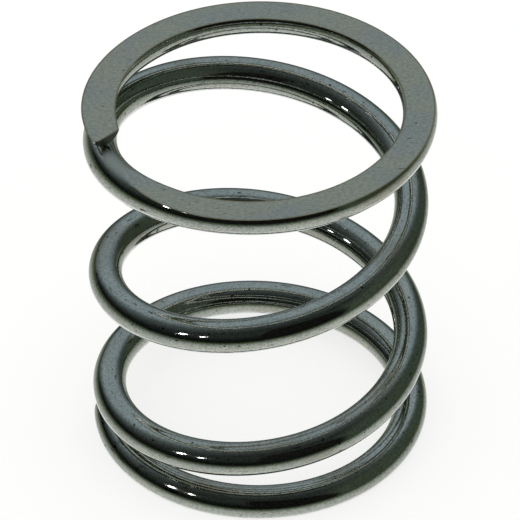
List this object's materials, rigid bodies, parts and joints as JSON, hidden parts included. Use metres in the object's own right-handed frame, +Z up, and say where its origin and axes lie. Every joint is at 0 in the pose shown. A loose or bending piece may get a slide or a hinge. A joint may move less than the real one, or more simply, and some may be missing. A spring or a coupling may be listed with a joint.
{
  "type": "compression spring",
  "caption": "Round-wire helical compression spring, wound right-handed, with closed end coils ground flat at both ends.",
  "frame": {"origin": "on the coil's axis, at the lower ground face", "axes": "+Z up along the coil's axis; the lower wire end is at -X"},
  "size_m": [0.041, 0.0419, 0.046],
  "materials": {
    "spring_steel": "bright plated round wire, dull ground faces"
  },
  "bodies": {
    "root": {"coil_spring": "spring_steel"}
  },
  "joints": []
}
